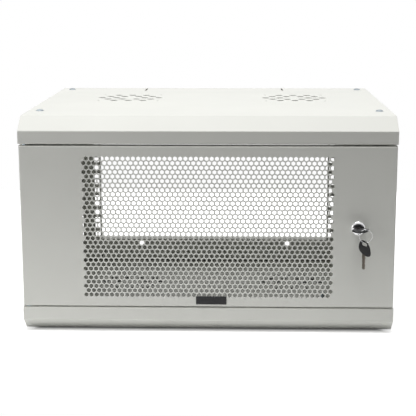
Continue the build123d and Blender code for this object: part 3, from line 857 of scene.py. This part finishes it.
def bolts(node, inward):
    """Threaded bolts and nuts along X in place of a node's plain ones. Inward is +1 for heads at +X."""
    shape = Shape()
    for low, high in solids(node):
        centre = (low + high) / 2
        if high.x - low.x > 1.5 * bolt_head:
            seat = high.x - bolt_head if inward > 0 else low.x + bolt_head
            place = along((-inward, 0, 0), (seat, centre.y, centre.z))
            hexagon_bolt(shape, place, high.x - low.x - bolt_head)
        else:
            seat = high.x if inward > 0 else low.x
            hexagon_nut(shape, along((-inward, 0, 0), (seat, centre.y, centre.z)))
    joined = piece(f"{node}_threaded", shape.vertices, shape.faces, "zinc", "cabinet", 30)
    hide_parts(node)


def panel_screws(node, face, up, top):
    """Socket screws and nuts through a shell panel. Up is the way from its outer face into the cabinet.

    Top is how far the heads' tops lie inside the panel's face.
    """
    dome = max(-top, 0.25 * mm)
    shape = Shape()
    for low, high in solids(node):
        centre = (low + high) / 2
        if high.x - low.x > bolt_flats * 1.2:
            tip = max(abs(low.z - face), abs(high.z - face))
            stations = [
                (top + screw_socket_depth, hexagonal(screw_socket_flats)),
                (top + 0.25 * mm, hexagonal(screw_socket_flats)),
                (top, screw_socket_mouth),
                *((top + rise * dome, share * screw_head_radius) for rise, share in screw_dome),
                (screw_head_seat, screw_head_radius),
                (screw_head_seat, bolt_radius - thread_depth),
                *thread(screw_head_seat + 0.2 * mm, tip - 0.6 * mm, bolt_radius),
                (tip, bolt_radius - 2 * thread_depth),
            ]
            shape.turned(along((0, 0, up), (centre.x, centre.y, face)), stations, 36)
        else:
            seat = low.z if up > 0 else high.z
            hexagon_nut(shape, along((0, 0, up), (centre.x, centre.y, seat)))
    joined = piece(f"{node}_socket", shape.vertices, shape.faces, "zinc", "cabinet", 30)
    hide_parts(node)


def earth_terminal():
    """The threaded earthing stud and its nut."""
    low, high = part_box("earth_stud")
    centre = (low + high) / 2
    length = high.z - low.z
    shape = Shape()
    place = along((0, 0, 1), (centre.x, centre.y, low.z))
    shape.turned(
        place,
        [
            (0.0, bolt_radius),
            *thread(0.2 * mm, length - 0.8 * mm, bolt_radius),
            (length, bolt_radius - 2 * thread_depth),
        ],
    )
    hexagon_nut(shape, place)
    joined = piece("earth_terminal", shape.vertices, shape.faces, "zinc", "cabinet", 30)
    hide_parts("earth_stud")


def camera():
    """The photograph's viewpoint."""
    data = bpy.data.cameras.new("camera")
    data.sensor_width = camera_sensor
    data.lens = camera_lens
    data.clip_start = 0.05
    data.clip_end = 50.0
    obj = linked("camera", data)
    sideways, level = sin(camera_yaw), cos(camera_yaw)
    forward = Vector((sideways * cos(camera_pitch), level * cos(camera_pitch), -sin(camera_pitch)))
    across = Vector((level, -sideways, 0.0))
    up = across.cross(forward)
    right = across * cos(camera_roll) + up * sin(camera_roll)
    top = up * cos(camera_roll) - across * sin(camera_roll)
    turn = Matrix((right, top, -forward)).transposed().to_4x4()
    obj.matrix_world = Matrix.Translation(camera_place) @ turn
    bpy.context.scene.camera = obj


def lamp(name, place, target, size, power, reflected):
    """A soft white rectangular lamp aimed at a point."""
    data = bpy.data.lights.new(name, "AREA")
    data.shape = "RECTANGLE"
    data.size, data.size_y = size
    data.energy = power
    obj = linked(name, data)
    aim = (Vector(target) - Vector(place)).to_track_quat("-Z", "Y")
    obj.matrix_world = Matrix.Translation(place) @ aim.to_matrix().to_4x4()
    obj.visible_glossy = reflected


def background():
    """White for camera, mirror and glass rays, and a softer level for the light that falls on the object."""
    world = bpy.data.worlds.new("world")
    bpy.context.scene.world = world
    world.use_nodes = True
    tree = world.node_tree
    shader = tree.nodes["Background"]
    path = tree.nodes.new("ShaderNodeLightPath")
    seen = add(tree, "ShaderNodeMath", operation="MAXIMUM")
    tree.links.new(path.outputs["Is Camera Ray"], seen.inputs[0])
    tree.links.new(path.outputs["Is Glossy Ray"], seen.inputs[1])
    both = add(tree, "ShaderNodeMath", operation="MAXIMUM")
    tree.links.new(seen.outputs[0], both.inputs[0])
    tree.links.new(path.outputs["Is Transmission Ray"], both.inputs[1])
    level = add(tree, "ShaderNodeMapRange")
    level.inputs["To Min"].default_value = world_level
    level.inputs["To Max"].default_value = 1.0
    tree.links.new(both.outputs[0], level.inputs["Value"])
    tree.links.new(level.outputs["Result"], shader.inputs["Strength"])
    shader.inputs["Color"].default_value = (1, 1, 1, 1)


def outside(tree):
    """A socket that is one away from the cabinet and nothing under it. It masks the floor's glow and its
    painted shade.
    """
    place = tree.nodes.new("ShaderNodeNewGeometry")
    split = tree.nodes.new("ShaderNodeSeparateXYZ")
    tree.links.new(place.outputs["Position"], split.inputs[0])
    either = add(tree, "ShaderNodeMath", operation="MAXIMUM")
    for i, (axis, half) in enumerate((("X", cad_box[1][0]), ("Y", cabinet_half_depth))):
        size = add(tree, "ShaderNodeMath", operation="ABSOLUTE")
        tree.links.new(split.outputs[axis], size.inputs[0])
        edge = add(tree, "ShaderNodeMapRange", interpolation_type="SMOOTHSTEP")
        edge.inputs["From Min"].default_value = half - floor_blend
        edge.inputs["From Max"].default_value = half
        tree.links.new(size.outputs[0], edge.inputs["Value"])
        tree.links.new(edge.outputs["Result"], either.inputs[i])
    return either.outputs[0]


def floor():
    """A white floor that keeps a faint shadow, with painted shade where the cabinet stands."""
    x, y0, y1 = floor_half_width, floor_front, floor_back
    mesh = bpy.data.meshes.new("floor")
    mesh.from_pydata([(-x, y0, 0), (x, y0, 0), (x, y1, 0), (-x, y1, 0)], [], [(0, 1, 2, 3)])
    obj = linked("floor", mesh)
    material, tree, shader = node_tree("floor")
    away = outside(tree)
    # painted shade: the floor's colour turns dark under the cabinet
    tint = ramp(tree, away, (floor_painted_shade,) * 3, (floor_white,) * 3, 0.0, 1.0)
    tree.links.new(tint.outputs["Color"], shader.inputs["Base Color"])
    shader.inputs["Roughness"].default_value = 0.9
    shader.inputs["Specular IOR Level"].default_value = 0.0
    shader.inputs["Emission Color"].default_value = (1, 1, 1, 1)
    path = tree.nodes.new("ShaderNodeLightPath")
    seen = add(tree, "ShaderNodeMath", operation="MAXIMUM")
    tree.links.new(path.outputs["Is Camera Ray"], seen.inputs[0])
    tree.links.new(path.outputs["Is Glossy Ray"], seen.inputs[1])
    level = add(tree, "ShaderNodeMath", operation="MULTIPLY")
    tree.links.new(seen.outputs[0], level.inputs[0])
    tree.links.new(away, level.inputs[1])
    glow = add(tree, "ShaderNodeMath", operation="MULTIPLY")
    tree.links.new(level.outputs[0], glow.inputs[0])
    glow.inputs[1].default_value = floor_glow
    tree.links.new(glow.outputs[0], shader.inputs["Emission Strength"])
    mesh.materials.append(material)
    obj.location.z = -floor_drop


bpy.context.scene.view_settings.view_transform = "Standard"
camera()
background()
floor()
for settings in lamps:
    lamp(*settings)
paint_nodes()
door_leaf()
badge_plate()
lock_body()
lock_shroud()
keys()
split_ring()
hinge_coil()
for side, outward in (("right", 1), ("left", -1)):
    bolts(f"wall_beam_bolts_{side}", outward)
    bolts(f"rail_bolts_{side}", -outward)
panel_screws("bottom_panel_screws", base_face, 1, screw_head_sink)
panel_screws("top_panel_screws", top_face, -1, -screw_head_rise)
cut_panel("top_panel", top_face)
cut_panel("bottom_panel", base_face)
earth_terminal()
